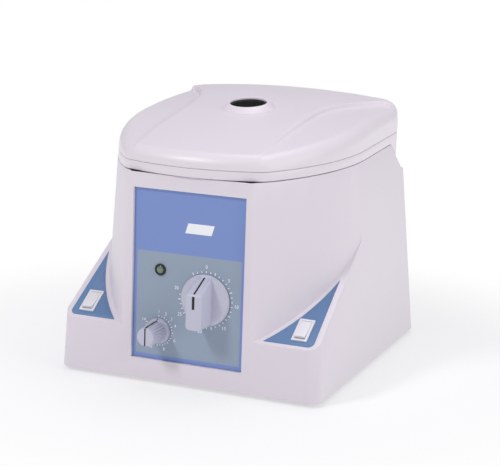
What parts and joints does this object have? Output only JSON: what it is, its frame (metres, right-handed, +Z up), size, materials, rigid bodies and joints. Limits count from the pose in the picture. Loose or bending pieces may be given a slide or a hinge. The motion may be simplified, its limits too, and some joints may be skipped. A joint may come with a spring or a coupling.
{
  "type": "laboratory centrifuge",
  "caption": "Benchtop microcentrifuge: drafted plastic housing with sloped switch consoles, recessed front panel with dials, hinged lid with a window, and an angle rotor in a steel bowl.",
  "frame": {"origin": "under the middle of the part's box, on the surface it stands on", "axes": "+X to the right seen from the front, -Y out of the front panel, +Z up"},
  "size_m": [0.266, 0.3101, 0.254],
  "materials": {
    "housing": "fine textured moulding",
    "lid": "fine textured moulding",
    "panel": "printed panel film",
    "label": "printed label film",
    "knob": "moulded knob",
    "switch": "moulded switch",
    "black": "black moulding",
    "lens": "unlit lamp lens",
    "window": "clear window",
    "rubber": "moulded rubber",
    "rotor": "anodised",
    "steel": "plain steel",
    "plate": "zinc-plated sheet",
    "motor": "painted motor case",
    "brass": "plated brass",
    "board": "glass-fibre laminate",
    "winding": "taped winding"
  },
  "bodies": {
    "base": {"housing_shell": "housing", "base_plate": "plate", "foot_front_left": "rubber", "foot_front_right": "rubber", "foot_rear_left": "rubber", "foot_rear_right": "rubber", "base_screws": "steel", "isolator_1": "rubber", "isolator_2": "rubber", "isolator_3": "rubber", "motor_plate": "plate", "motor_housing": "motor", "motor_bearing_lower": "steel", "motor_bearing_upper": "steel", "motor_stator": "steel", "chamber_bowl": "steel", "bowl_screws": "steel", "chamber_gasket": "rubber", "control_panel": "panel", "facet_label_left": "label", "facet_label_right": "label", "indicator_bezel": "black", "indicator_lens": "lens", "timer_body": "black", "timer_nut": "steel", "speed_body": "black", "speed_nut": "steel", "rocker_bezel_left": "switch", "rocker_bezel_right": "switch", "hinge_bracket_left": "steel", "hinge_bracket_right": "steel", "hinge_pin_left": "steel", "hinge_pin_right": "steel", "lock_solenoid": "motor", "power_inlet": "black", "inlet_pins": "brass", "board_standoffs": "brass", "circuit_board": "board", "transformer_core": "steel", "transformer_coil": "winding"},
    "lid": {"lid_cover": "lid", "lid_liner": "lid", "lid_window": "window", "window_ring": "lid", "lid_screws": "steel", "lid_striker": "steel", "hinge_leaf_left": "steel", "hinge_leaf_right": "steel"},
    "rotor": {"rotor": "rotor", "rotor_nut": "rotor", "drive_shaft": "steel", "motor_armature": "steel"},
    "time_dial": {"time_knob": "knob", "timer_shaft": "steel"},
    "speed_dial": {"speed_knob": "knob", "speed_shaft": "steel"},
    "rocker_left": {"rocker_left": "switch"},
    "rocker_right": {"rocker_right": "switch"},
    "lock_bolt": {"lock_bolt": "steel"},
    "fuse_drawer": {"fuse_drawer": "black"}
  },
  "joints": [
    {"name": "lid_hinge", "type": "hinge", "parent": "base", "child": "lid", "pos_m": [0, 0.12674, 0.185], "axis": [-1, 0, 0], "range_deg": [0, 80]},
    {"name": "rotor_spin", "type": "hinge", "parent": "base", "child": "rotor", "pos_m": [0, 0.00764, 0.1362], "axis": [0, 0, 1], "continuous": true},
    {"name": "time_turn", "type": "hinge", "parent": "base", "child": "time_dial", "pos_m": [0.018, -0.12813, 0.087], "axis": [0, 0.9996, -0.028], "range_deg": [-30, 285]},
    {"name": "speed_turn", "type": "hinge", "parent": "base", "child": "speed_dial", "pos_m": [-0.0295, -0.12912, 0.0517], "axis": [0, 0.9996, -0.028], "range_deg": [0, 300]},
    {"name": "rocker_left_tilt", "type": "hinge", "parent": "base", "child": "rocker_left", "pos_m": [-0.109, -0.11007, 0.0662], "axis": [1, 0, 0], "range_deg": [0, 14]},
    {"name": "rocker_right_tilt", "type": "hinge", "parent": "base", "child": "rocker_right", "pos_m": [0.109, -0.11007, 0.0662], "axis": [1, 0, 0], "range_deg": [0, 14]},
    {"name": "lock_slide", "type": "slide", "parent": "base", "child": "lock_bolt", "axis": [-1, 0, 0], "range_m": [0, 0.008]},
    {"name": "fuse_slide", "type": "slide", "parent": "base", "child": "fuse_drawer", "axis": [0, 0.9933, 0.1153], "range_m": [0, 0.012]}
  ]
}
